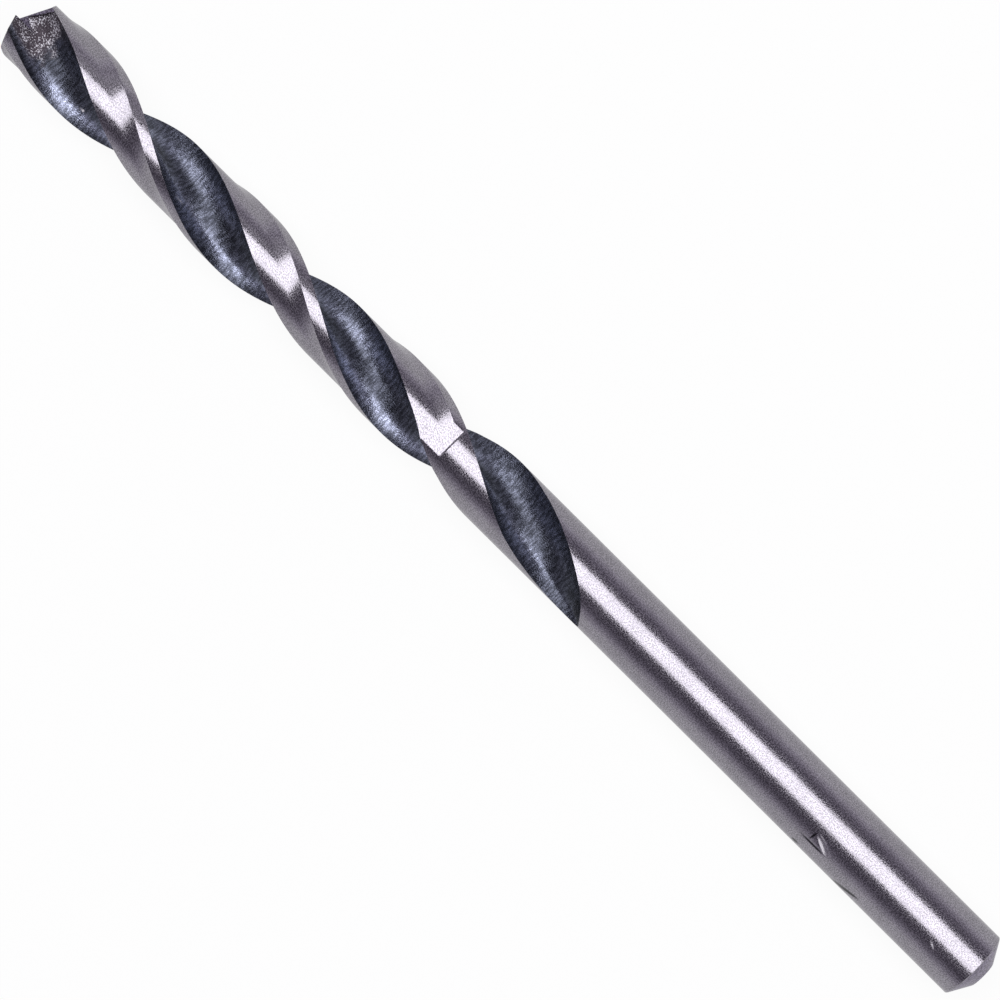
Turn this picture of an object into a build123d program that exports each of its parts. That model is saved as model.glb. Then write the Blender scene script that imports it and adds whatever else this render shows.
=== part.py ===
"""Right-hand twist drill for metal, two flutes, split point, plain cylindrical shank.

The drill lies along X with its point at the low end and rests on its lands at z = 0.
A length x is measured from the point towards the shank.  An angle round the axis is
measured from the top (+Z) towards +Y; a right-hand helix turns it down as x grows.
"""
import os
from math import acos, asin, cos, degrees, radians, sin, sqrt, tan

from build123d import *

# driving dimensions, in millimetres and degrees
overall_length = 86.0
flute_length = 52.36
body_dia = 4.98
shank_dia = 4.90
back_taper = 0.006
lead = 28.76
web = 0.90
cleared_dia = 4.50
point_angle = 135.0
lip_relief = 9.5

# flutes: the middle of each one at the point, and its width at the outside
flute_middles = (34.7, 212.0)
flute_widths = (95.4, 100.2)
runout_length = 7.4

# body clearance, left by a wheel that feeds along the lands behind the margins
margin_backs = (144.2, -32.3)
clearance_length = 38.89
wheel_width = 3.2
wheel_dwell = 0.96
wheel_corner = 0.2
wheel_bite = 0.012
cleared_at_point = (-0.06, 0.12)
point_zone = 4.0

# split point
lip_corner_angle = -21.5
flank_start = -0.19
notch_depth = 0.18
notch_wall_angle = 0.0
notch_floor_slopes = (0.504, 0.317)
thinning_slopes = (-0.32, 2.14)

# shank end
end_flat_dia = 2.0
end_chamfer_length = 0.85

body_r = body_dia / 2
shank_r = shank_dia / 2
cleared_r = cleared_dia / 2
step_start = clearance_length + 0.1
step_length = 0.6
section_gap = 1.2
bar_start = -1.0
cut_start = -2.3


def turn(x):
    """Angle that the helix has turned back by at x."""
    return 360.0 * x / lead


def at(x, across, out, angle):
    """Point at x, from an outward and a sideways distance in a frame turned by the angle."""
    a = radians(angle)
    y = out * sin(a) + across * cos(a)
    z = out * cos(a) - across * sin(a)
    return Vector(x, y, z)


def polar(x, r, angle):
    """Point at x on radius r at the given angle."""
    return at(x, 0.0, r, angle)


def rake_lead(r):
    """Angle of the rake face at radius r ahead of its outer edge, for a straight lip."""
    half = web / 2
    ahead = degrees(asin(half / r) - asin(half / body_r))
    drop = (sqrt(body_r**2 - half**2) - sqrt(r**2 - half**2)) / tan(radians(point_angle / 2))
    return ahead - turn(drop)


def flute_profile(width):
    """Flute cross-section as (out, across) pairs from the rake side to the heel side."""
    half = width / 2
    points = []
    for part in (1.0, 0.62, 0.38, 0.24):
        r = part * body_r
        a = radians(rake_lead(r) - half)
        points.append((r * cos(a), r * sin(a)))
    outer, inner = points[0], points[1]
    points.insert(0, tuple(o + 0.35 * (o - i) for o, i in zip(outer, inner)))
    floor = 0.51 * web
    heel = (body_r * cos(radians(half)), body_r * sin(radians(half)))
    points.append((floor * 1.02, 0.02 * body_r))
    for along, bulge in ((0.25, 0.115), (0.5, 0.135), (0.76, 0.085)):
        x = floor + along * (heel[0] - floor) - bulge * body_r * 0.83
        y = 0.06 * body_r + along * (heel[1] - 0.06 * body_r) + bulge * body_r * 0.56
        points.append((x, y))
    points.append(heel)
    last = points[-2]
    points.append(tuple(h + 0.8 * (h - i) for h, i in zip(heel, last)))
    return points


def flute_shift(x):
    """Outward and sideways shift of the flute section where the wheel leaves the bar."""
    t = (x - (flute_length - runout_length)) / runout_length
    if t <= 0:
        return 0.0, 0.0
    rise = body_r - 0.51 * web
    out = rise * (0.60 * t**1.5 + 0.40 * t**13)
    across = body_r * (0.38 * t - 0.30 * t**12)
    return out, across


def flute_wire(x, middle, width):
    """Closed flute cutter section at x."""
    out, across = flute_shift(x)
    angle = middle - turn(x)
    profile = [(o + out, c + across) for o, c in flute_profile(width)]
    curve = Edge.make_spline([at(x, c, o, angle) for o, c in profile])
    first, last = profile[0], profile[-1]
    far = 1.9 * body_r + out
    corners = [last, (far, last[1]), (far, first[1]), first]
    points = [at(x, c, o, angle) for o, c in corners]
    lines = [Edge.make_line(p, q) for p, q in zip(points, points[1:])]
    return Wire([curve] + lines)


def spread(start, stop, gap):
    """Evenly spaced stations from start to stop."""
    count = max(2, round((stop - start) / gap))
    return [start + (stop - start) * i / count for i in range(count + 1)]


def swept(section, stations, runs):
    """Solids through the section at the stations, in successive runs of like length."""
    last = len(stations) - 1
    ends = [round(last * i / runs) for i in range(runs + 1)]
    return [Solid.make_loft([section(x) for x in stations[a : b + 1]]) for a, b in zip(ends, ends[1:])]


def flute_cutter(middle, width):
    """Swept volume of one flute, with its run-out."""
    bend = flute_length - runout_length
    late = flute_length - 0.2 * runout_length
    stations = spread(cut_start, bend, section_gap)
    stations += spread(bend, late, section_gap / 2)[1:]
    stations += spread(late, flute_length + 0.15, section_gap / 5)[1:]
    return swept(lambda x: flute_wire(x, middle, width), stations, 4)


def clearance_wire(x, contact, rise_at_point):
    """Closed section of the clearance cutter: a round part, then the wheel's flat rise."""
    angle = contact - turn(x)
    r = cleared_r + rise_at_point * max(0.0, min(1.0, 1 - x / point_zone))
    tall = body_r + 0.5 * (body_r - cleared_r)
    rise = degrees(acos(cleared_r / tall))
    low = angle - 52.0
    arc = Edge.make_three_point_arc(polar(x, r, low), polar(x, r, (low + angle) / 2), polar(x, r, angle))
    points = [
        polar(x, r, angle),
        polar(x, tall, angle + rise),
        polar(x, tall * 1.35, angle),
        polar(x, tall * 1.35, low),
        polar(x, r, low),
    ]
    return Wire([arc] + [Edge.make_line(p, q) for p, q in zip(points, points[1:])])


def print_block(contact, low, high, across_low, across_high, out_low, out_high):
    """Block in the frame of the flat that the wheel leaves at its last contact angle."""
    a = radians(contact)
    frame = Plane(origin=(0, 0, 0), x_dir=(1, 0, 0), z_dir=(0, sin(a), cos(a)))
    size = (high - low, across_high - across_low, out_high - out_low)
    place = Pos((low + high) / 2, (across_low + across_high) / 2, (out_low + out_high) / 2)
    return frame * place * Box(*size)


def clearance_cutter(margin_back, rise_at_point):
    """Swept volume that clears one land behind its margin, with the last wheel print."""
    contact = margin_back - degrees(acos(cleared_r / body_r))
    stop = clearance_length - wheel_dwell
    last = contact - turn(stop)
    stations = spread(cut_start, stop, section_gap)
    sweep = swept(lambda x: clearance_wire(x, contact, rise_at_point), stations, 3)
    floor = cleared_r - wheel_bite
    keep = print_block(
        last, clearance_length - wheel_width, stop + 1, -3 * body_r, 0, -body_r, cleared_r + 0.1
    )
    flat = print_block(
        last, clearance_length - wheel_width, clearance_length, -body_r, body_r, floor, 2 * body_r
    )
    corner = flat.edges().group_by(Axis.X)[-1]
    a = radians(last)
    lowest = corner.sort_by(lambda e: e.center().Y * sin(a) + e.center().Z * cos(a))[0]
    flat = fillet(lowest, wheel_corner)
    return [piece - keep for piece in sweep], flat


def front_of(x_at_axis, slope_y, slope_z, depth=3.0):
    """Everything in front of the plane x = x_at_axis + slope_y * y + slope_z * z."""
    normal = Vector(-1, slope_y, slope_z)
    frame = Plane(origin=(x_at_axis, 0, 0), z_dir=normal)
    size = 6 * body_r
    return frame * Pos(0, 0, depth / 2) * Box(size, size, depth)


def bar():
    """Plain round bar that the flutes are cut from."""
    length = overall_length - bar_start
    return Pos(bar_start + length / 2, 0, 0) * Rot(0, 90, 0) * Cylinder(body_r, length)


def turned_envelope():
    """Outside form of the bar: ground body, slightly smaller shank, coned shank end."""
    step_end = step_start + step_length
    shank_start = flute_length + 0.5
    chamfer_start = overall_length - end_chamfer_length
    outline = [
        (bar_start - 1, 0),
        (bar_start - 1, body_r),
        (step_start, body_r),
        (step_end, shank_r + back_taper),
        (shank_start, shank_r),
        (chamfer_start, shank_r),
        (overall_length, end_flat_dia / 2),
        (overall_length, 0),
    ]
    face = make_face(Polyline([Vector(x, 0, r) for x, r in outline], close=True))
    return revolve(face, Axis.X)


def point_cutters():
    """Flanks and split-point cuts for the near land; the other land has them turned over."""
    half = web / 2
    lip = radians(lip_corner_angle) - asin(half / body_r)
    slope = 1 / tan(radians(point_angle / 2))
    relief = tan(radians(lip_relief))
    across = slope * sin(lip) - relief * cos(lip)
    upward = slope * cos(lip) + relief * sin(lip)
    flank = front_of(flank_start + half * relief, across, upward)
    wall = Plane(origin=(0, 0, 0), z_dir=polar(0, 1, notch_wall_angle + 90))
    side = wall * Pos(0, 0, 2 * body_r) * Box(8 * body_r, 8 * body_r, 4 * body_r)
    notch = front_of(notch_depth, *notch_floor_slopes) & side
    thinning = front_of(notch_depth, *thinning_slopes) & side
    return [flank, notch, thinning]


def drill():
    """The finished drill, still on its own axis."""
    body = bar()
    for middle, width in zip(flute_middles, flute_widths):
        body -= flute_cutter(middle, width)
    body &= turned_envelope()
    for margin_back, rise_at_point in zip(margin_backs, cleared_at_point):
        sweep, flat = clearance_cutter(margin_back, rise_at_point)
        body -= flat
        body -= sweep
    for cutter in point_cutters():
        body -= cutter
        body -= cutter.rotate(Axis.X, 180)
    return body


body = drill()
box = body.bounding_box()
drill_bit = Pos(-box.center().X, 0, body_r) * body

os.makedirs("parts", exist_ok=True)
export_step(drill_bit, "parts/drill_bit.step")
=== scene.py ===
"""Looks of the twist drill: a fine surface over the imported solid, its finishes and a plain stage.

Lengths in the drill's own formulas are in millimetres. x runs from the point towards the
shank. An angle round the axis is measured from the top (+Z) towards +Y, and a right-hand
helix turns it down as x grows.
"""
import math

import bpy
import numpy as np
from bpy.props import FloatProperty, FloatVectorProperty, IntProperty, PointerProperty
from bpy.types import Operator, Panel, PropertyGroup
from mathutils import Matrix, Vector


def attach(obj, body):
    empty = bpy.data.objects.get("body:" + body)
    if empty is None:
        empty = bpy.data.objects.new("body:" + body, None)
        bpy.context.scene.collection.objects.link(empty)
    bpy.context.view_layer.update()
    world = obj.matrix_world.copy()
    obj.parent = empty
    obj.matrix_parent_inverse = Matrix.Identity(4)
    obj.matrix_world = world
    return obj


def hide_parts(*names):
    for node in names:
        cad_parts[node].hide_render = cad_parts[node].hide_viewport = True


bl_info = {
    "name": "Twist drill looks",
    "version": (1, 0, 0),
    "blender": (4, 5, 0),
    "location": "3D View > Sidebar > Drill",
    "description": "Ground and blackened surface of a two-flute twist drill, with a plain stage",
    "category": "Object",
}

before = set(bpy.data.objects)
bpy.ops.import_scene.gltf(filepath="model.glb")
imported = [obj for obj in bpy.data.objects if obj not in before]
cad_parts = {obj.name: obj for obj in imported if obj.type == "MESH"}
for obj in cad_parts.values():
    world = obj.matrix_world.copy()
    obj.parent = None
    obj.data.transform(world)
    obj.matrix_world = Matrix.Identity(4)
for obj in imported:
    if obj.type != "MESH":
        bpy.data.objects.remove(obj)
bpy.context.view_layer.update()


# ---------------------------------------------------------------- settings


class DrillShape(PropertyGroup):
    length: FloatProperty(name="Length", description="Overall length in mm", default=86.0)
    flute_length: FloatProperty(name="Flute length", description="Point to flute end in mm", default=52.36)
    body_radius: FloatProperty(name="Body radius", description="Radius over the margins in mm", default=2.49)
    shank_radius: FloatProperty(name="Shank radius", description="Radius of the shank in mm", default=2.45)
    back_taper: FloatProperty(
        name="Back taper", description="Growth of the radius ahead of the shank in mm", default=0.006
    )
    lead: FloatProperty(name="Lead", description="Advance of the helix in one turn, mm", default=28.76)
    web: FloatProperty(name="Web", description="Core thickness in mm", default=0.90)
    cleared_radius: FloatProperty(
        name="Cleared radius", description="Radius of the backed-off lands in mm", default=2.25
    )
    columns: IntProperty(name="Columns", description="Samples across one flute", default=82, min=24)
    land_columns: IntProperty(name="Land columns", description="Samples across one land", default=38, min=16)


class SteelLook(PropertyGroup):
    steel: FloatVectorProperty(
        name="Steel", description="Ground steel", subtype="COLOR", size=3, default=(0.345, 0.326, 0.368)
    )
    oxide: FloatVectorProperty(
        name="Oxide", description="Blackened flutes", subtype="COLOR", size=3, default=(0.127, 0.136, 0.18)
    )
    burnt: FloatVectorProperty(
        name="Burnt steel", description="Rough patch at the point", subtype="COLOR", size=3,
        default=(0.085, 0.071, 0.086),
    )
    steel_roughness: FloatProperty(name="Steel roughness", description="Gloss of the lands", default=0.2)
    oxide_roughness: FloatProperty(name="Oxide roughness", description="Gloss of the flutes", default=0.24)


class StageLook(PropertyGroup):
    key_strength: FloatProperty(name="Key radiance", description="Radiance of the soft box", default=2.75)
    side_strength: FloatProperty(
        name="Side radiance", description="Radiance of the panel by the point", default=0.3
    )
    sky: FloatProperty(name="Sky", description="Radiance of the surroundings overhead", default=0.13)
    horizon: FloatProperty(name="Horizon", description="Radiance of the surroundings low down", default=0.64)
    lens: FloatProperty(name="Lens", description="Focal length", default=102.48, unit="CAMERA")
    camera_height: FloatProperty(
        name="Camera height", description="Height above the floor", default=0.1826, unit="LENGTH"
    )


# ---------------------------------------------------------------- drill formulas

FLUTE_MIDDLES = (34.7, 212.0)
FLUTE_WIDTHS = (95.4, 100.2)
MARGIN_BACKS = (144.2, -32.3)
CLEARED_AT_POINT = (-0.06, 0.12)
POINT_ZONE = 4.0
RUNOUT = 7.4
CLEARANCE_LENGTH = 38.89
WHEEL = {"width": 3.2, "dwell": 0.96, "corner": 0.2, "bite": 0.012}
STEP_LENGTH = 0.6
POINT_ANGLE = 135.0
LIP_RELIEF = 9.5
LIP_CORNER = -21.5
FLANK_START = -0.19
NOTCH_DEPTH = 0.18
NOTCH_FLOOR = (0.504, 0.317)
THINNING = (-0.32, 2.14)
END_FLAT = 1.0
END_CHAMFER = 0.85
# radii of the rake face's places as shares of the body's, the floor's distance from the axis as
# a share of the web, and places along the line to the heel with how far each bulges off it
RAKE_RADII = (1.0, 0.62, 0.38, 0.24)
FLOOR_SHARE = 0.51
HEEL_BULGES = ((0.25, 0.115), (0.5, 0.135), (0.76, 0.085))
# the share of the run-out, 1 at the flute's end, past which its formula stays as it is
RUNOUT_REACH = 1.12
# degrees round the wheel's contact that its sweep takes, that its last print takes to either
# side, and that the sweep leaves alone beside that print
SWEPT_ARC = (-52, 40)
PRINT_ARC = 80
PRINT_SHADOW = 150
# the fewest samples of the flute's curve that its columns spread over, and the shares of a
# land's columns before the clearance's contact and before the margin's back
LEAST_SPAN = 40.0
LAND_SHARES = (0.45, 0.78)

# the shank's columns spread evenly from just past the flutes, over this length
SPREAD_START = 0.55
SPREAD_LENGTH = 15.5
# rows of the grid: their spacing in mm by stretch, and the rows that the small marks need
LAND_STEP = 0.26
RUNOUT_STEP = 0.13
SHANK_STEP = 0.8
SIDE_START = 6.0
MARKED_STRETCHES = ((71.1, 71.85, 0.16), (71.9, 73.9, 0.075), (74.0, 77.5, 0.28), (81.86, 82.5, 0.12))
SPECK_ROWS = (7.02, 7.07, 7.12, 7.17, 7.22, 8.54, 8.59, 8.63, 8.68, 8.73, 41.07, 41.13, 41.2, 41.27, 41.33)
HAIR = 2e-4
# where the columns' meeting with the ground point is looked for, and the rows and rings there
FRONT_PROBE = (-1.2, 5.8)
PROBE_STEPS = 1401
FRONT_ROWS = 30
FRONT_CROWDING = 1.25
CAP_RINGS = 30
END_RINGS = 6
# edges bent by more degrees than this are shaded sharp
SHARP_ANGLE = 24.0
MM_PER_M = 1000.0
# a face counts as cut by a flute where it lies this far under the outside, in mm
CUT_DEPTH = 0.003

# marks are on the upper side only, above this height from the axis in mm
MARKED_ABOVE = -0.6
# x, y, length, width, lean, depth and tone (light above 0, dark below) of each mark
MARKS = (
    (72.85, -1.30, 2.0, 0.85, -18.0, 0.045, 0.0),
    (72.92, -1.40, 1.75, 0.22, -25.0, 0.02, 2.2),
    (72.45, -1.70, 2.9, 0.18, 0.0, 0.012, -1.6),
    (72.08, -1.28, 0.95, 0.20, 84.0, 0.012, -1.5),
    (72.60, -0.98, 1.3, 0.16, -16.0, 0.0, 0.6),
    (75.95, -2.28, 2.7, 0.20, 8.0, 0.02, -2.4),
    (71.55, -2.31, 0.7, 0.16, 0.0, 0.01, -2.2),
    (82.15, -0.90, 0.9, 0.16, -30.0, 0.006, 1.1),
    (7.09, -1.31, 0.24, 0.22, 0.0, 0.0, 1.5),
    (8.63, -1.42, 0.26, 0.22, 0.0, 0.0, 0.9),
    (15.80, -1.01, 0.8, 0.16, -4.0, 0.0, 0.6),
    (41.20, 2.10, 0.34, 0.50, 0.0, 0.0, 1.2),
)

# steel finishes in the order of the mesh's material slots
GROUND, BLACKENED, POINT = 0, 1, 2

# each flute's painted highlight lane, a lighter tone where the flute's streak of reflected light falls, by
# the share t across it from 0 at the rake edge to 1 at the heel: how bright, its middle, its width, and how
# much of it is left where the second flute runs out
SHEEN_LANES = ({"gain": 2.1, "middle": 0.17, "width": 0.09, "left": 1.0},
         {"gain": 1.3, "middle": 0.2, "width": 0.11, "left": 0.1})
SHEEN_FADE = (46.5, 49.8)
# the oxide's own tone everywhere else, a faint painted highlight lane, and how much lighter, as painted
# highlight, it gets towards the heel
OXIDE_BASE = 0.5
FAINT_SHEEN = {"gain": 0.25, "middle": 0.62, "width": 0.06}
HEEL_SHEEN = (0.25, 0.76, 0.9)
# the second painted highlight lane, nearer the heel on both flutes
UPPER_SHEEN = {"gain": 0.95, "middle": 0.71, "width": 0.09, "left": 0.3}
UPPER_SHEEN_FADE = (41.0, 43.5)
# slope in degrees that the wheel's passes add to each flute: at the rake edge, its change, and
# the shares t between which it changes; and the rise towards the heel
PASSES = ((2.0, -13.0, 0.19, 0.3), (14.0, -25.0, 0.18, 0.31))
HEEL_RISE = (14.0, 0.65, 0.8)
# the flute's arc length is this many body radii
FLUTE_ARC = 1.73
# the oxide's tone and its painted highlight are halved near the point, back to full between these places
# along it, and the burnt patch thins towards the rake edge
DULL_STRETCH = (3.2, 5.4)
CHAR_EDGE = (0.1, 0.24)


def smooth(a, b, x):
    """Smooth step: 3t^2 - 2t^3 of the clamped ratio t = (x - a) / (b - a)."""
    t = np.clip((x - a) / (b - a), 0.0, 1.0)
    return t * t * (3 - 2 * t)


def wrap(angle):
    """Angle in degrees brought into -180 to 180."""
    return (angle + 180.0) % 360.0 - 180.0


def natural_spline(points, samples):
    """Natural cubic spline through the points over chord length, at `samples` even parameters."""
    p = np.asarray(points, float)
    s = np.concatenate([[0], np.cumsum(np.hypot(*np.diff(p, axis=0).T))])
    h = np.diff(s)
    n = len(p)
    a = np.zeros((n, n))
    rhs = np.zeros((n, 2))
    a[0, 0] = a[-1, -1] = 1
    i = np.arange(1, n - 1)
    a[i, i - 1], a[i, i], a[i, i + 1] = h[:-1], 2 * (h[:-1] + h[1:]), h[1:]
    slope = np.diff(p, axis=0) / h[:, None]
    rhs[1:-1] = 6 * np.diff(slope, axis=0)
    m = np.linalg.solve(a, rhs)
    q = np.linspace(0, s[-1], samples)
    k = np.clip(np.searchsorted(s, q) - 1, 0, n - 2)
    d, e = (q - s[k])[:, None], (s[k + 1] - q)[:, None]
    hk = h[k][:, None]
    return (
        m[k] * e**3 / (6 * hk)
        + m[k + 1] * d**3 / (6 * hk)
        + (p[k] / hk - m[k] * hk / 6) * e
        + (p[k + 1] / hk - m[k + 1] * hk / 6) * d
    )


class Form:
    """Radius of every place on the drill, from the same sizes as the solid."""

    def __init__(self, s):
        self.s = s
        self.R = s.body_radius
        self.half_web = s.web / 2
        self.contacts = [b - math.degrees(math.acos(s.cleared_radius / self.R)) for b in MARGIN_BACKS]
        self.stop = CLEARANCE_LENGTH - WHEEL["dwell"]

    def turn(self, x):
        """Degrees that the helix has turned back by at x: a full turn for each lead."""
        return 360.0 * x / self.s.lead

    def rake_lead(self, r):
        """Degrees by which the straight lip's rake face is ahead of its outer edge at radius r.

        The lip is half a web off the axis, so its angle grows inwards by the arc sine of
        half a web over r; the helix takes back its turn over the lip's drop along the axis.
        """
        half, big = self.half_web, self.R
        ahead = math.degrees(math.asin(half / r) - math.asin(half / big))
        drop = math.sqrt(big**2 - half**2) - math.sqrt(r**2 - half**2)
        return ahead - self.turn(drop / math.tan(math.radians(POINT_ANGLE / 2)))

    def profile(self, width, samples=900):
        """Flute cross-section (out, across) from the rake side to the heel side.

        A spline through places on the lip's rake face, one on the floor by the web and three
        that bulge off the straight line to the heel. Both ends run on past the outside.
        """
        half, big, web = width / 2, self.R, self.s.web
        pts = []
        for part in RAKE_RADII:
            a = math.radians(self.rake_lead(part * big) - half)
            pts.append((part * big * math.cos(a), part * big * math.sin(a)))
        pts.insert(0, tuple(o + 0.35 * (o - i) for o, i in zip(pts[0], pts[1])))
        floor = FLOOR_SHARE * web
        heel = (big * math.cos(math.radians(half)), big * math.sin(math.radians(half)))
        pts.append((floor * 1.02, 0.02 * big))
        for along, bulge in HEEL_BULGES:
            pts.append((
                floor + along * (heel[0] - floor) - bulge * big * 0.83,
                0.06 * big + along * (heel[1] - 0.06 * big) + bulge * big * 0.56,
            ))
        pts.append(heel)
        last = pts[-2]
        pts.append(tuple(h + 0.8 * (h - i) for h, i in zip(heel, last)))
        return natural_spline(pts, samples)

    def shift(self, x):
        """Outward and sideways shift of the flute where it runs out.

        With t from 0 to 1 over the run-out, it rises out of the bar by a mix of t^1.5 and t^13,
        and drifts sideways with t until t^12 draws it back at the very end.
        """
        t = np.clip((x - (self.s.flute_length - RUNOUT)) / RUNOUT, 0.0, RUNOUT_REACH)
        rise = self.R - FLOOR_SHARE * self.s.web
        return rise * (0.60 * t**1.5 + 0.40 * t**13), self.R * (0.38 * t - 0.30 * t**12)

    def turned(self, x):
        """Radius of the turned bar: ground body, step, slight taper, shank and coned end."""
        s = self.s
        a = CLEARANCE_LENGTH + 0.1
        return np.interp(
            x,
            [a, a + STEP_LENGTH, s.flute_length + 0.5, s.length - END_CHAMFER, s.length],
            [self.R, s.shank_radius + s.back_taper, s.shank_radius, s.shank_radius, END_FLAT],
        )

    def outside(self, x, angle):
        """Radius of the outside at x and angle: the turned bar, less what the clearance wheel took.

        Behind each margin a flat, tangent to the cleared radius, drops to a concentric arc;
        the wheel's last print is a plain flat with a small rounded corner at its end.
        """
        x, angle = np.broadcast_arrays(x, angle)
        r = self.turned(x)
        low = self.s.cleared_radius
        tall = self.R + 0.5 * (self.R - low)
        reach = math.sqrt(tall**2 - low**2)
        for contact, rise in zip(self.contacts, CLEARED_AT_POINT):
            rc = low + rise * np.clip(1 - x / POINT_ZONE, 0, 1)
            phi = wrap(angle - contact + self.turn(x))
            c, sn = np.cos(np.radians(phi)), np.sin(np.radians(phi))
            flat = rc / np.maximum(c - (low - rc) / reach * sn, 0.2)
            swept = np.where(phi < 0, rc, flat)
            psi = wrap(angle - contact + self.turn(self.stop))
            start = CLEARANCE_LENGTH - WHEEL["width"]
            behind = (x > start) & (psi < 0) & (psi > -PRINT_SHADOW)
            on = (phi > SWEPT_ARC[0]) & (phi < SWEPT_ARC[1]) & (x <= self.stop) & ~behind
            r = np.where(on, np.minimum(r, swept), r)
            past = np.clip(x - (CLEARANCE_LENGTH - WHEEL["corner"]), 0, WHEEL["corner"])
            floor = low - WHEEL["bite"] + WHEEL["corner"] - np.sqrt(WHEEL["corner"] ** 2 - past**2)
            print_r = floor / np.maximum(np.cos(np.radians(psi)), 0.05)
            here = (x >= start) & (x <= CLEARANCE_LENGTH) & (np.abs(psi) < PRINT_ARC)
            r = np.where(here, np.minimum(r, print_r), r)
        return r

    def front(self, y, z):
        """Height x of the ground point over (y, z): the highest of two flanks and, on each
        side of the chisel plane y = 0, that side's notch floor and thinning plane."""
        half = self.half_web
        lip = math.radians(LIP_CORNER) - math.asin(half / self.R)
        slope = 1 / math.tan(math.radians(POINT_ANGLE / 2))
        relief = math.tan(math.radians(LIP_RELIEF))
        sy = slope * math.sin(lip) - relief * math.cos(lip)
        sz = slope * math.cos(lip) + relief * math.sin(lip)
        start = FLANK_START + half * relief
        flanks = start + np.abs(sy * y + sz * z)
        side = np.where(y > 0, 1.0, -1.0)
        floor = NOTCH_DEPTH + side * (NOTCH_FLOOR[0] * y + NOTCH_FLOOR[1] * z)
        thin = NOTCH_DEPTH + side * (THINNING[0] * y + THINNING[1] * z)
        return np.maximum(flanks, np.maximum(floor, thin))

    def section(self, x):
        """Columns of the closed section at each x of an array shaped (n, columns).

        Every column keeps its place in a flute or on a land, so the grid follows the helix.
        A flute's columns run between the two places where its curve leaves the outside.
        """
        s = self.s
        nf, nl = s.columns, s.land_columns
        n = x.shape[0]
        r_all, a_all = [], []
        ends = []
        for k, (middle, width) in enumerate(zip(FLUTE_MIDDLES, FLUTE_WIDTHS)):
            curve = self.profile(width)
            first = k * (nf + nl)
            xs = x[:, first : first + nf]
            # where the curve crosses the outside, from one x for the row
            ref = xs[:, nf // 2]
            out, across = self.shift(ref)
            o = curve[None, :, 0] + out[:, None]
            c = curve[None, :, 1] + across[:, None]
            rr = np.hypot(o, c)
            aa = middle - self.turn(ref)[:, None] + np.degrees(np.arctan2(c, o))
            inside = rr < self.outside(ref[:, None], aa)
            has = inside.any(axis=1)
            i0 = np.where(has, inside.argmax(axis=1), rr.argmin(axis=1))
            i1 = np.where(has, rr.shape[1] - 1 - inside[:, ::-1].argmax(axis=1), i0)
            gap = rr - self.outside(ref[:, None], aa)
            rows = np.arange(n)
            j0, j1 = np.maximum(i0 - 1, 0), np.minimum(i1 + 1, rr.shape[1] - 1)
            d0 = gap[rows, j0] / np.maximum(gap[rows, j0] - gap[rows, i0], 1e-9)
            d1 = gap[rows, j1] / np.maximum(gap[rows, j1] - gap[rows, i1], 1e-9)
            t0 = np.where(has, j0 + np.clip(d0, 0, 1), i0)
            t1 = np.where(has, j1 - np.clip(d1, 0, 1), i0)
            mid, wide = (t0 + t1) / 2, np.maximum(t1 - t0, LEAST_SPAN)
            t = mid[:, None] + wide[:, None] * (np.linspace(0, 1, nf)[None] - 0.5)
            t = np.clip(t, 0, rr.shape[1] - 1)
            idx = np.arange(rr.shape[1])
            out, across = self.shift(xs)
            o = np.interp(t, idx, curve[:, 0]) + out
            c = np.interp(t, idx, curve[:, 1]) + across
            ang = middle - self.turn(xs) + np.degrees(np.arctan2(c, o))
            rad = np.minimum(np.hypot(o, c), self.outside(xs, ang))
            for edge in (0, -1):
                rad[:, edge] = self.outside(xs[:, edge], ang[:, edge])
            ends.append((first, ang[:, 0], ang[:, -1], rad, ang))
        ang = np.empty_like(x)
        rad = np.empty_like(x)
        for k in (0, 1):
            first, _, heel, fr, fa = ends[k]
            lead = ends[1 - k][1]
            ang[:, first : first + nf] = fa
            rad[:, first : first + nf] = fr
            lo = heel
            hi = lead + 360.0 * (k == 1)
            cols = slice(first + nf, first + nf + nl)
            xs = x[:, cols]
            ref = xs[:, nl // 2]
            # the margin's back edge keeps a column of its own
            back = MARGIN_BACKS[k] - self.turn(ref)
            back = back + 360.0 * np.round(((lo + hi) / 2 - back) / 360.0)
            contact = back - (MARGIN_BACKS[k] - self.contacts[k])
            n1, n2 = (int(nl * share) for share in LAND_SHARES)
            knots = np.stack([lo, contact, back, hi], axis=1)
            knots = np.sort(np.clip(knots, lo[:, None] + 0.2, hi[:, None] - 0.2), axis=1)
            knots[:, 0], knots[:, -1] = lo, hi
            frac = np.arange(1, nl + 1)
            spots = np.array([0, n1, n2, nl + 1])
            seg = np.clip(np.searchsorted(spots, frac, side="right") - 1, 0, 2)
            w = (frac - spots[seg]) / (spots[seg + 1] - spots[seg])
            base = knots[:, seg] * (1 - w) + knots[:, seg + 1] * w
            ang[:, cols] = base + (self.turn(ref)[:, None] - self.turn(xs))
            rad[:, cols] = self.outside(xs, ang[:, cols])
        return rad, ang


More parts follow.
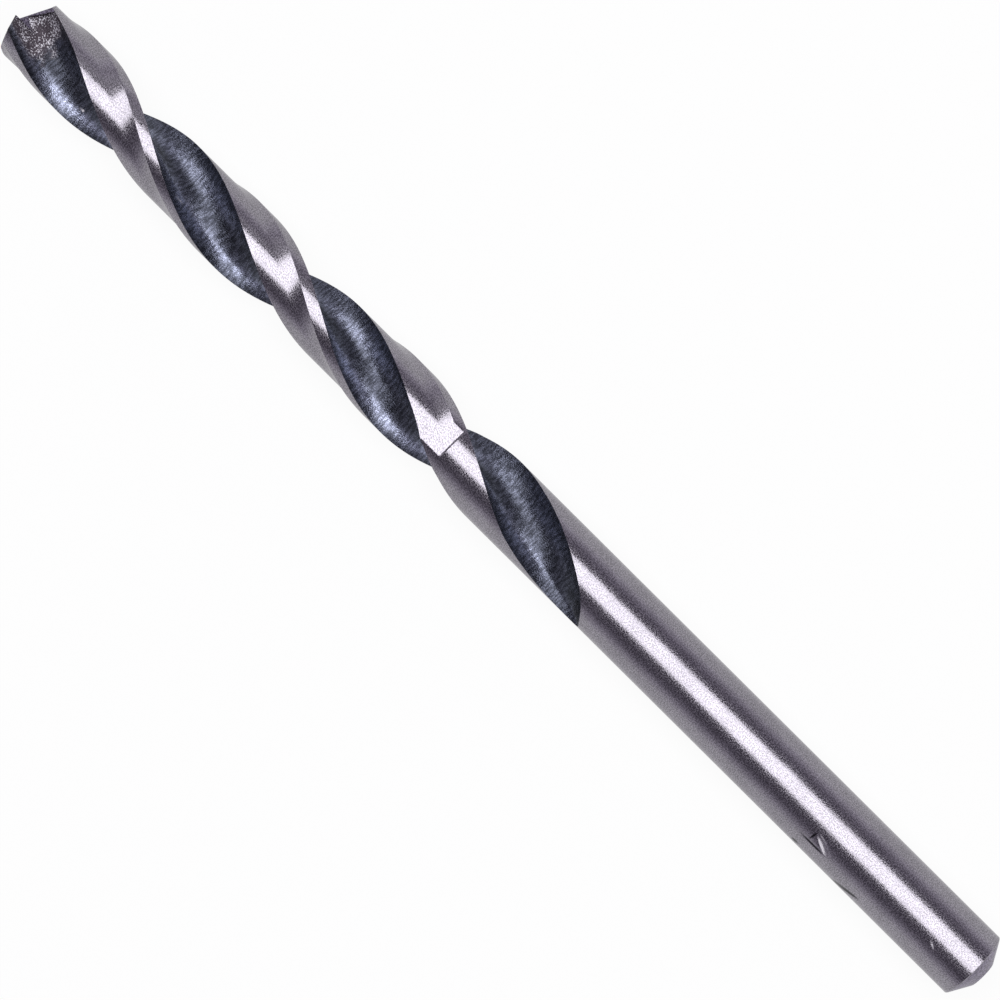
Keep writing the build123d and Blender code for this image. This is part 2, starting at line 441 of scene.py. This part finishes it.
def stations(form):
    """Rows along the drill: fine at the wheel print, the run-out and the small marks.

    A wall across the axis gets two rows a hair apart.
    """
    s = form.s
    start, end = CLEARANCE_LENGTH - WHEEL["width"], CLEARANCE_LENGTH
    corner, flutes, cone = WHEEL["corner"], s.flute_length, s.length - END_CHAMFER
    rows = [
        np.arange(SIDE_START, start - 0.1, LAND_STEP),
        [start - HAIR, start + HAIR],
        np.arange(start + 0.1, end - corner, 0.1),
        end - corner * (1 - np.sin(np.linspace(0, math.pi / 2, 7)[:-1])),
        [end - HAIR, end + HAIR, end + 0.1, end + 0.25, end + 0.4, end + 0.55, end + 0.7],
        np.arange(end + 0.9, flutes - RUNOUT, LAND_STEP),
        np.arange(flutes - RUNOUT, flutes + 0.5, RUNOUT_STEP),
        np.arange(flutes + 0.6, MARKED_STRETCHES[0][0] - 0.1, SHANK_STEP),
        np.arange(77.8, cone - 0.1, SHANK_STEP),
        SPECK_ROWS,
        [cone - 0.03, cone + 0.03, s.length - 0.4, s.length - 0.02, s.length],
    ]
    rows += [np.arange(*stretch) for stretch in MARKED_STRETCHES]
    return np.unique(np.concatenate([np.asarray(r, float) for r in rows]))


def mark_mask(x, y, z, mark):
    """Share 0..1 of a mark on the upper side: (1 - d^2)^2 with the squared elliptic distance d^2
    from its middle, the ellipse long by wide mm and leaning by `lean` degrees seen from above."""
    at_x, at_y, long, wide, lean = mark[:5]
    c, sn = math.cos(math.radians(lean)), math.sin(math.radians(lean))
    u, v = (x - at_x) * c + (y - at_y) * sn, -(x - at_x) * sn + (y - at_y) * c
    d = np.minimum((u / (long / 2)) ** 2 + (v / (wide / 2)) ** 2, 1.0)
    return np.where(z > MARKED_ABOVE, (1 - d) ** 2, 0.0)


def drill_grid(s):
    """The form and, shaped (rows, columns), x, radius, angle and mark tone over its side."""
    form = Form(s)
    cols = 2 * (s.columns + s.land_columns)
    tail = stations(form)
    # where each column meets the ground point: the last x at which it lies in front of it
    probe = np.linspace(*FRONT_PROBE, PROBE_STEPS)
    xs = np.repeat(probe[:, None], cols, axis=1)
    rad, ang = form.section(xs)
    y, z = rad * np.sin(np.radians(ang)), rad * np.cos(np.radians(ang))
    gap = xs - form.front(y, z)
    ahead = gap < 0
    last = len(probe) - 1 - ahead[::-1].argmax(axis=0)
    last = np.where(ahead.any(axis=0), last, 0)
    nxt = np.minimum(last + 1, len(probe) - 1)
    c = np.arange(cols)
    g0, g1 = gap[last, c], gap[nxt, c]
    start = probe[last] + (probe[1] - probe[0]) * np.clip(-g0 / np.maximum(g1 - g0, 1e-9), 0, 1)
    # a band of rows from the ground edge to the first straight row
    band = (np.linspace(0, 1, FRONT_ROWS) ** FRONT_CROWDING)[:-1]
    near = start[None] + (tail[0] - start[None]) * band[:, None]
    x = np.concatenate([near, np.repeat(tail[:, None], cols, axis=1)])
    rad, ang = form.section(x)
    ang = np.where(ang - ang[:, :1] < -1e-6, ang + 360.0, ang)
    # past the flutes the columns spread evenly, slowly so that no face is skewed much
    w = np.clip((x - s.flute_length - SPREAD_START) / SPREAD_LENGTH, 0.0, 1.0)
    held = ang[(x[:, 0] > s.flute_length + 0.5).argmax()]
    plain = x > s.flute_length + SPREAD_START
    even = held[0] + np.arange(cols)[None] * 360.0 / cols
    ang = np.where(plain, held[None] * (1 - w) + even * w, ang)
    rad = np.where(plain, form.turned(x), rad)
    # marks on the shank and the clearance
    y, z = rad * np.sin(np.radians(ang)), rad * np.cos(np.radians(ang))
    scar = np.zeros_like(x)
    for mark in MARKS:
        mask = mark_mask(x, y, z, mark)
        rad = rad - mark[5] * mask
        scar = np.where(np.abs(mark[6]) * mask > np.abs(scar), mark[6] * mask, scar)
    return form, x, rad, ang, scar


def closed_grid(s, form, x, rad, ang):
    """All points of the drill in mm, and how many rows of them are the cap over the point.

    The cap scales the front edge towards the axis and lifts each point onto the ground point's
    height; the end closes with rings on the flat.
    """
    a = np.radians(ang)
    y, z = rad * np.sin(a), rad * np.cos(a)
    side = np.stack([x, y, z], axis=-1)
    inward = np.linspace(1, 0, CAP_RINGS)[1:-1, None]
    cy, cz = y[0] * inward, z[0] * inward
    cap = np.stack([form.front(cy, cz), cy, cz], axis=-1)[::-1]
    inward = np.linspace(1, 0, END_RINGS)[1:-1, None]
    ey, ez = y[-1] * inward, z[-1] * inward
    tail = np.stack([np.full_like(ey, s.length), ey, ez], axis=-1)
    return np.concatenate([cap, side, tail]), len(cap)


def grid_faces(rows, cols):
    """Quads between neighbouring rows and columns, then a fan to the tip and one to the end."""
    i, j = np.arange(rows - 1)[:, None], np.arange(cols)[None]
    k = (j + 1) % cols
    quads = np.stack([i * cols + j, (i + 1) * cols + j, (i + 1) * cols + k, i * cols + k], axis=-1)
    near, beside = j[0], k[0]
    tip, butt, last = rows * cols, rows * cols + 1, (rows - 1) * cols
    front = np.stack([np.full(cols, tip), near, beside], axis=-1)
    back = np.stack([np.full(cols, butt), last + beside, last + near], axis=-1)
    return quads.reshape(-1, 4).tolist() + front.tolist() + back.tolist()


def face_finishes(s, form, grid, caps, x, rad, ang):
    """Material slot of each face: blackened where a flute is cut, coarse at the point and on the
    coned end, ground elsewhere."""
    nf, nl = s.columns, s.land_columns
    total, cols = grid.shape[:2]
    column = np.arange(cols)
    in_flute = (column < nf - 1) | ((column >= nf + nl) & (column < 2 * nf + nl - 1))
    below = (form.outside(x, ang) - rad > CUT_DEPTH) & (x < s.flute_length + 0.5)
    deep = np.zeros((total, cols), bool)
    deep[caps : caps + len(x)] = below | (x < s.flute_length - 2.0)
    cut = deep[:-1] | deep[1:]
    kind = np.full((total - 1, cols), GROUND)
    kind[in_flute[None] & (cut | np.roll(cut, -1, axis=1))] = BLACKENED
    kind[:caps] = POINT
    kind[grid[:-1, :, 0] > s.length - END_CHAMFER] = POINT
    return np.concatenate([kind.reshape(-1), np.full(cols, POINT), np.full(cols, GROUND)])


def map_places(mesh, grid):
    """UV map `along_round`: each corner's place along the drill and round it, in mm."""
    closed = np.append(grid, grid[:, :1], axis=1)
    step = np.hypot(np.diff(closed[..., 1], axis=1), np.diff(closed[..., 2], axis=1))
    round_mm = np.concatenate([np.zeros((len(grid), 1)), np.cumsum(step, axis=1)], axis=1)
    uv = np.stack([closed[..., 0], round_mm], axis=-1)
    corners = np.stack([uv[:-1, :-1], uv[1:, :-1], uv[1:, 1:], uv[:-1, 1:]], axis=2).reshape(-1, 2)
    fans = np.zeros((6 * grid.shape[1], 2))
    layer = mesh.uv_layers.new(name="along_round")
    layer.data.foreach_set("uv", np.concatenate([corners, fans]).astype(np.float32).ravel())


def surface_values(s, grid, caps, scar):
    """Values on the points that the finishes read, by name, each shaped (rows, columns).

    The oxide's lightness: its own even tone plus painted highlight, a bell over the share t round each
    lane's middle where the flute's streak of reflected light falls, faded where the flutes run out and
    halved by the point.  hollow: the height in mm whose slope across the flute is the passes' angle.
    char: how much of the burnt patch reaches this share.  scar: tone of the small marks.
    """
    nf, nl = s.columns, s.land_columns
    total, cols = grid.shape[:2]
    along = grid[..., 0]
    t = np.zeros(cols)
    t[:nf] = t[nf + nl : 2 * nf + nl] = np.linspace(0, 1, nf)
    first = np.arange(cols) < nf

    def bell(lane):
        return lane["gain"] * np.exp(-(((t - lane["middle"]) / lane["width"]) ** 2))

    def faded(left, stretch):
        return 1 - (1 - left) * smooth(*stretch, along)

    # painted highlight lanes and a lighter heel side, over the oxide's own even tone
    base = OXIDE_BASE + bell(FAINT_SHEEN) + HEEL_SHEEN[0] * smooth(*HEEL_SHEEN[1:], t)
    lane = np.where(first, bell(SHEEN_LANES[0]), bell(SHEEN_LANES[1]))
    left = np.where(first, SHEEN_LANES[0]["left"], SHEEN_LANES[1]["left"])
    tone_and_sheen = base + lane * faded(left, SHEEN_FADE) + bell(UPPER_SHEEN) * faded(UPPER_SHEEN["left"], UPPER_SHEEN_FADE)
    slopes = [edge + change * smooth(low, high, t) for edge, change, low, high in PASSES]
    tilt = np.where(first, *slopes) + HEEL_RISE[0] * smooth(*HEEL_RISE[1:], t)
    hollow = -np.cumsum(np.tan(np.radians(tilt))) * FLUTE_ARC * s.body_radius / (nf - 1)
    marks = np.zeros((total, cols))
    marks[caps : caps + len(scar)] = scar
    return {
        "tone_and_sheen": tone_and_sheen * (0.5 + 0.5 * smooth(*DULL_STRETCH, along)),
        "hollow": np.repeat(hollow[None], total, axis=0),
        "char": np.repeat(smooth(*CHAR_EDGE, t)[None], total, axis=0),
        "scar": marks,
    }


def build_drill_mesh(s):
    """Closed mesh of the drill, centred along x and resting on z = 0, with all its surface data."""
    form, x, rad, ang, scar = drill_grid(s)
    grid, caps = closed_grid(s, form, x, rad, ang)
    tip = [form.front(np.zeros(1), np.zeros(1))[0], 0.0, 0.0]
    points = np.concatenate([grid.reshape(-1, 3), [tip, [s.length, 0.0, 0.0]]])
    points[:, 0] -= (points[:, 0].min() + s.length) / 2
    points[:, 2] += s.body_radius
    mesh = bpy.data.meshes.new("drill_surface")
    mesh.from_pydata((points / MM_PER_M).tolist(), [], grid_faces(*grid.shape[:2]))
    mesh.validate()
    finishes = face_finishes(s, form, grid, caps, x, rad, ang)
    mesh.polygons.foreach_set("material_index", finishes.astype(np.int32))
    map_places(mesh, grid)
    for name, values in surface_values(s, grid, caps, scar).items():
        att = mesh.attributes.new(name, "FLOAT", "POINT")
        att.data.foreach_set("value", np.append(values.ravel(), [0.0, 0.0]).astype(np.float32))
    mesh.polygons.foreach_set("use_smooth", np.ones(len(mesh.polygons), bool))
    mesh.set_sharp_from_angle(angle=math.radians(SHARP_ANGLE))
    mesh.update()
    return mesh


# ---------------------------------------------------------------- materials


def new_material(name):
    """Fresh node material, with its node tree and its Principled shader."""
    mat = bpy.data.materials.new(name)
    mat.use_nodes = True
    tree = mat.node_tree
    shader = next(n for n in tree.nodes if n.type == "BSDF_PRINCIPLED")
    return mat, tree, shader


def add(tree, kind, inputs=None, **settings):
    """Adds a node, sets its properties, and links or sets its inputs."""
    node = tree.nodes.new(kind)
    for key, value in settings.items():
        setattr(node, key, value)
    for key, value in (inputs or {}).items():
        if isinstance(value, bpy.types.NodeSocket):
            tree.links.new(value, node.inputs[key])
        else:
            node.inputs[key].default_value = value
    return node


def math_node(tree, operation, a, b=0.0, c=0.0, clamp=False):
    """Result of a math node on up to three values or sockets."""
    node = add(tree, "ShaderNodeMath", {0: a, 1: b, 2: c}, operation=operation)
    node.use_clamp = clamp
    return node.outputs[0]


def ramp(tree, value, low, high, to_low=0.0, to_high=1.0):
    """Smooth step of the value from low..high to to_low..to_high."""
    node = add(
        tree,
        "ShaderNodeMapRange",
        {"Value": value, "From Min": low, "From Max": high, "To Min": to_low, "To Max": to_high},
        interpolation_type="SMOOTHSTEP",
    )
    return node.outputs["Result"]


def mix_colour(tree, factor, a, b, blend="MIX"):
    """Colour b over colour a by the factor."""
    node = add(tree, "ShaderNodeMix", {0: factor, 6: a, 7: b}, data_type="RGBA", blend_type=blend)
    return node.outputs[2]


def noise(tree, place, scale, detail, roughness=0.5):
    """Noise at the place."""
    inputs = {"Vector": place, "Scale": scale, "Detail": detail, "Roughness": roughness}
    return add(tree, "ShaderNodeTexNoise", inputs).outputs[0]


def surface_value(tree, name):
    """One of the mesh's own values, such as polish."""
    return add(tree, "ShaderNodeAttribute", attribute_name=name).outputs["Fac"]


def bumped(tree, height, strength, distance, normal=None):
    """Normal bent by a height; the distance is in metres."""
    inputs = {"Height": height, "Strength": strength, "Distance": distance}
    if normal:
        inputs["Normal"] = normal
    return add(tree, "ShaderNodeBump", inputs).outputs[0]


LIGHT_MARK = (0.9, 0.88, 0.92, 1.0)
DARK_MARK = (0.03, 0.028, 0.035, 1.0)
FLECK = (0.62, 0.6, 0.66, 1.0)
POINT_TINT = (0.78, 0.74, 0.86)
POINT_EXTRA_ROUGHNESS = 0.08
# the burnt patch ends between these places along the drill, in mm, with a border this ragged
PATCH_END = (3.7, 5.0)
PATCH_RAGGED = 2.6
# heights of bumps, in metres
STEEL_BUMP = 0.00002
FLUTE_BUMP = 0.00003
HOLLOW_UNIT = 0.001


def grind_group():
    """Grinding finish: fine lines round the drill, pores and slow blotches.

    Takes the along-round place in mm. Puts out a shade factor, a roughness change and a height.
    """
    group = bpy.data.node_groups.new("grind", "ShaderNodeTree")
    face = group.interface
    face.new_socket("Place", in_out="INPUT", socket_type="NodeSocketVector")
    for name, value in (("Line scale", 9.0), ("Pore scale", 11.5), ("Line depth", 0.4)):
        sock = face.new_socket(name, in_out="INPUT", socket_type="NodeSocketFloat")
        sock.default_value = value
    for name in ("Shade", "Rough", "Height"):
        face.new_socket(name, in_out="OUTPUT", socket_type="NodeSocketFloat")
    inn = group.nodes.new("NodeGroupInput")
    out = group.nodes.new("NodeGroupOutput")
    stretch = add(group, "ShaderNodeMapping", {"Vector": inn.outputs["Place"], "Scale": (1.0, 0.16, 1.0)})
    lines = noise(group, stretch.outputs[0], inn.outputs["Line scale"], 5.0, 0.75)
    pores = noise(group, inn.outputs["Place"], inn.outputs["Pore scale"], 1.0, 0.6)
    blotch = noise(group, inn.outputs["Place"], 0.55, 2.0)
    pit = ramp(group, pores, 0.38, 0.62)
    shade = math_node(group, "MULTIPLY_ADD", lines, 0.8, 0.57)
    shade = math_node(group, "MULTIPLY", shade, math_node(group, "MULTIPLY_ADD", pit, 0.72, 0.64))
    shade = math_node(group, "MULTIPLY", shade, math_node(group, "MULTIPLY_ADD", blotch, 0.35, 0.84))
    group.links.new(shade, out.inputs["Shade"])
    rough = math_node(group, "MULTIPLY_ADD", pit, 0.14, math_node(group, "MULTIPLY", lines, 0.14))
    group.links.new(math_node(group, "SUBTRACT", rough, 0.13), out.inputs["Rough"])
    pits = math_node(group, "MULTIPLY", pit, 0.6)
    height = math_node(group, "MULTIPLY_ADD", lines, inn.outputs["Line depth"], pits)
    group.links.new(height, out.inputs["Height"])
    return group


def place_mm(tree):
    """Place along and round the drill, in mm."""
    return add(tree, "ShaderNodeUVMap", uv_map="along_round").outputs[0]


def grind(tree, place, **inputs):
    """The grinding finish at the place, with any of its inputs changed."""
    node = add(tree, "ShaderNodeGroup", node_tree=bpy.data.node_groups["grind"])
    tree.links.new(place, node.inputs["Place"])
    for key, value in inputs.items():
        node.inputs[key.replace("_", " ").capitalize()].default_value = value
    return node


def tinted(tree, colour, factor):
    """The colour times a grey factor."""
    grey = add(tree, "ShaderNodeCombineColor", {0: factor, 1: factor, 2: factor}).outputs[0]
    return mix_colour(tree, 1.0, (*colour, 1.0), grey, "MULTIPLY")


def scarred(tree, colour, rough):
    """Lightens or darkens the colour where the surface carries a mark, and roughens it."""
    scar = surface_value(tree, "scar")
    light = math_node(tree, "MULTIPLY", scar, 1.0, clamp=True)
    dark = math_node(tree, "MULTIPLY", scar, -1.0, clamp=True)
    colour = mix_colour(tree, light, colour, LIGHT_MARK)
    colour = mix_colour(tree, dark, colour, DARK_MARK)
    return colour, math_node(tree, "MULTIPLY_ADD", light, 0.5, rough, clamp=True)


def ground_steel(look):
    """Ground lands and shank: lavender-grey steel with lines round it and fine pores."""
    mat, tree, shader = new_material("ground_steel")
    place = place_mm(tree)
    finish = grind(tree, place)
    colour = tinted(tree, look.steel, finish.outputs["Shade"])
    rough = math_node(tree, "ADD", finish.outputs["Rough"], look.steel_roughness, clamp=True)
    colour, rough = scarred(tree, colour, rough)
    tree.links.new(colour, shader.inputs["Base Color"])
    shader.inputs["Metallic"].default_value = 1.0
    tree.links.new(rough, shader.inputs["Roughness"])
    tree.links.new(bumped(tree, finish.outputs["Height"], 0.12, STEEL_BUMP), shader.inputs["Normal"])
    return mat


def blackened_flute(look):
    """Blackened flute: blue-black with feed ticks across it and painted highlight lanes along it, burnt and
    pitted by the point.
    """
    mat, tree, shader = new_material("blackened_flute")
    place = place_mm(tree)
    split = add(tree, "ShaderNodeSeparateXYZ", {0: place})
    along = split.outputs[0]
    finish = grind(tree, place, line_scale=5.0, pore_scale=12.0)
    ticks_at = add(tree, "ShaderNodeMapping", {"Vector": place, "Scale": (6.0, 1.5, 1.0)})
    ticks = noise(tree, ticks_at.outputs[0], 1.0, 1.0)
    tick = ramp(tree, ticks, 0.38, 0.62, 0.62, 1.38)
    # the oxide's tone carries the painted highlight lanes along each flute
    tick = math_node(tree, "MULTIPLY", tick, surface_value(tree, "tone_and_sheen"))
    body = tinted(tree, look.oxide, math_node(tree, "MULTIPLY", tick, finish.outputs["Shade"]))

    # burnt patch: full at the point, gone after a few millimetres, with a ragged border
    ragged = noise(tree, place, 1.1, 2.0)
    reach = math_node(tree, "MULTIPLY_ADD", ragged, PATCH_RAGGED, along)
    patch = ramp(tree, reach, *PATCH_END, 1.0, 0.0)
    patch = math_node(tree, "MULTIPLY", patch, surface_value(tree, "char"))
    grit = noise(tree, place, 8.5, 2.0, 0.6)
    gather = noise(tree, place, 1.3, 1.0)
    fleck = ramp(tree, math_node(tree, "MULTIPLY_ADD", gather, 0.45, grit), 0.755, 0.84)
    fleck_colour = mix_colour(tree, fleck, (*look.burnt, 1.0), FLECK)
    colour = mix_colour(tree, patch, body, fleck_colour)
    shader.inputs["Metallic"].default_value = 0.86
    shader.inputs["Specular IOR Level"].default_value = 0.2
    smooth_rough = math_node(tree, "ADD", finish.outputs["Rough"], look.oxide_roughness)
    rough = math_node(tree, "MULTIPLY_ADD", patch, 0.28, smooth_rough, clamp=True)
    colour, rough = scarred(tree, colour, rough)
    tree.links.new(colour, shader.inputs["Base Color"])
    tree.links.new(rough, shader.inputs["Roughness"])
    height = math_node(tree, "MULTIPLY", grit, math_node(tree, "MULTIPLY", patch, 6.0))
    height = math_node(tree, "ADD", height, math_node(tree, "MULTIPLY", ticks, 0.6))
    height = math_node(tree, "ADD", height, finish.outputs["Height"])
    grain = bumped(tree, height, 0.45, FLUTE_BUMP)
    curved = bumped(tree, surface_value(tree, "hollow"), 1.0, HOLLOW_UNIT, grain)
    tree.links.new(curved, shader.inputs["Normal"])
    return mat


def ground_point(look):
    """Flanks and notch: coarser grinding, speckled."""
    mat, tree, shader = new_material("ground_point")
    coords = add(tree, "ShaderNodeTexCoord").outputs["Object"]
    place = add(tree, "ShaderNodeMapping", {"Vector": coords, "Scale": (1000.0, 1000.0, 1000.0)}).outputs[0]
    finish = grind(tree, place, line_scale=5.0, pore_scale=7.0)
    violet = tuple(c * f for c, f in zip(look.steel, POINT_TINT))
    colour = tinted(tree, violet, finish.outputs["Shade"])
    tree.links.new(colour, shader.inputs["Base Color"])
    shader.inputs["Metallic"].default_value = 1.0
    duller = look.steel_roughness + POINT_EXTRA_ROUGHNESS
    rough = math_node(tree, "ADD", finish.outputs["Rough"], duller, clamp=True)
    tree.links.new(rough, shader.inputs["Roughness"])
    tree.links.new(bumped(tree, finish.outputs["Height"], 0.4, FLUTE_BUMP), shader.inputs["Normal"])
    return mat


# ---------------------------------------------------------------- operators


class MAKE_OT_drill(Operator):
    """Builds the drill's surface and its finishes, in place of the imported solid"""

    bl_idname = "twist_drill.make_drill"
    bl_label = "Make drill"

    def execute(self, context):
        shape, look = context.scene.drill_shape, context.scene.steel_look
        grind_group()
        mesh = build_drill_mesh(shape)
        for mat in (ground_steel(look), blackened_flute(look), ground_point(look)):
            mesh.materials.append(mat)
        drill = bpy.data.objects.new("drill", mesh)
        context.scene.collection.objects.link(drill)
        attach(drill, "root")
        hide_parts("drill_bit")
        return {"FINISHED"}


FLOOR_HALF = 1.5
# share of the floor that shows as an even white, and its strength to other rays than the camera's
FLOOR_GLOW = 0.92
FLOOR_DIM = 0.7
KEY = {"size": (1.1, 0.42), "place": (0.02, 0.045, 0.5), "aim": (0.02, 0.045, 0.0)}
SIDE = {"size": (0.36, 0.3), "place": (-0.3, 0.4, 0.4), "aim": (-0.03, 0.0, 0.0)}
CAMERA_X = 0.01403
CAMERA_TURN = 44.81
CAMERA_SHIFT = (-0.1571, 0.1518)
SENSOR = 36.0


def area_light(name, radiance, size, place, aim):
    """Flat soft box of the given radiance: power = radiance * pi * area."""
    data = bpy.data.lights.new(name, "AREA")
    data.shape = "RECTANGLE"
    data.size, data.size_y = size
    data.energy = radiance * math.pi * size[0] * size[1]
    lamp = bpy.data.objects.new(name, data)
    lamp.location = place
    lamp.rotation_euler = (Vector(aim) - Vector(place)).to_track_quat("-Z", "Y").to_euler()
    bpy.context.scene.collection.objects.link(lamp)


def white_floor():
    """Matt white that glows evenly to the camera and in reflections, and still takes the shadow."""
    mat, tree, shader = new_material("white_floor")
    shader.inputs["Base Color"].default_value = (0.8, 0.8, 0.8, 1)
    shader.inputs["Roughness"].default_value = 0.9
    shader.inputs["Specular IOR Level"].default_value = 0.0
    path = add(tree, "ShaderNodeLightPath")
    straight = path.outputs["Is Camera Ray"]
    strength = math_node(tree, "MULTIPLY_ADD", straight, 1 - FLOOR_DIM, FLOOR_DIM)
    glow = add(tree, "ShaderNodeEmission", {"Color": (1, 1, 1, 1), "Strength": strength})
    seen = math_node(tree, "MAXIMUM", straight, path.outputs["Is Glossy Ray"])
    seen = math_node(tree, "MAXIMUM", seen, path.outputs["Is Transmission Ray"])
    seen = math_node(tree, "MULTIPLY", seen, FLOOR_GLOW)
    mixed = add(tree, "ShaderNodeMixShader", {0: seen, 1: shader.outputs[0], 2: glow.outputs[0]})
    target = next(n for n in tree.nodes if n.type == "OUTPUT_MATERIAL")
    tree.links.new(mixed.outputs[0], target.inputs["Surface"])
    return mat


def lay_floor(scene):
    """Square white floor at z = 0."""
    mesh = bpy.data.meshes.new("floor")
    w = FLOOR_HALF
    mesh.from_pydata([(-w, -w, 0), (w, -w, 0), (w, w, 0), (-w, w, 0)], [], [(0, 1, 2, 3)])
    mesh.materials.append(white_floor())
    floor = bpy.data.objects.new("floor", mesh)
    scene.collection.objects.link(floor)


def surroundings(look):
    """World: brighter near the horizon, dim and slightly violet overhead, white to the camera."""
    world = bpy.data.worlds.new("surroundings")
    world.use_nodes = True
    sky = world.node_tree
    back = sky.nodes["Background"]
    towards = add(sky, "ShaderNodeTexCoord").outputs["Generated"]
    parts = add(sky, "ShaderNodeSeparateXYZ", {0: towards})
    sideways, height = parts.outputs[1], parts.outputs[2]
    level = ramp(sky, height, 0.0, 0.66, look.horizon, look.sky)
    level = math_node(sky, "ADD", level, ramp(sky, sideways, 0.3, 0.8, 0.0, 0.06))
    tint = mix_colour(sky, ramp(sky, height, 0.0, 0.7), (0.97, 0.95, 1.0, 1), (0.93, 0.84, 1.05, 1))
    straight = add(sky, "ShaderNodeLightPath").outputs["Is Camera Ray"]
    tint = mix_colour(sky, straight, tint, (1.0, 1.0, 1.0, 1.0))
    sky.links.new(tint, back.inputs["Color"])
    sky.links.new(math_node(sky, "MAXIMUM", level, straight), back.inputs["Strength"])
    return world


def place_camera(scene, look):
    """Camera that looks straight down, turned so that the drill runs from corner to corner."""
    data = bpy.data.cameras.new("camera")
    data.lens = look.lens
    data.sensor_width = SENSOR
    data.shift_x, data.shift_y = CAMERA_SHIFT
    data.clip_start = 0.01
    camera = bpy.data.objects.new("camera", data)
    camera.location = (CAMERA_X, 0.0, look.camera_height)
    camera.rotation_euler = (0.0, 0.0, math.radians(CAMERA_TURN))
    scene.collection.objects.link(camera)
    scene.camera = camera
    scene.view_settings.view_transform = "Standard"


class MAKE_OT_stage(Operator):
    """Builds the white floor, the soft boxes, the surroundings and the camera"""

    bl_idname = "twist_drill.make_stage"
    bl_label = "Make stage"

    def execute(self, context):
        scene, look = context.scene, context.scene.stage_look
        lay_floor(scene)
        area_light("key", look.key_strength, **KEY)
        area_light("side", look.side_strength, **SIDE)
        scene.world = surroundings(look)
        place_camera(scene, look)
        return {"FINISHED"}


class DRILL_PT_panel(Panel):
    """Lists the pieces of the drill scene"""

    bl_idname = "DRILL_PT_panel"
    bl_label = "Twist drill"
    bl_space_type = "VIEW_3D"
    bl_region_type = "UI"
    bl_category = "Drill"

    def draw(self, context):
        for group in ("drill_shape", "steel_look", "stage_look"):
            box = self.layout.box()
            settings = getattr(context.scene, group)
            for name in settings.bl_rna.properties.keys():
                if name not in ("rna_type", "name"):
                    box.prop(settings, name)
        self.layout.operator(MAKE_OT_drill.bl_idname)
        self.layout.operator(MAKE_OT_stage.bl_idname)


CLASSES = (DrillShape, SteelLook, StageLook, MAKE_OT_drill, MAKE_OT_stage, DRILL_PT_panel)


def register():
    for cls in CLASSES:
        bpy.utils.register_class(cls)
    bpy.types.Scene.drill_shape = PointerProperty(type=DrillShape)
    bpy.types.Scene.steel_look = PointerProperty(type=SteelLook)
    bpy.types.Scene.stage_look = PointerProperty(type=StageLook)


def unregister():
    for name in ("drill_shape", "steel_look", "stage_look"):
        delattr(bpy.types.Scene, name)
    for cls in reversed(CLASSES):
        bpy.utils.unregister_class(cls)


def main():
    """Registers the classes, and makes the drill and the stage."""
    register()
    bpy.ops.twist_drill.make_drill()
    bpy.ops.twist_drill.make_stage()


if __name__ == "__main__":
    main()
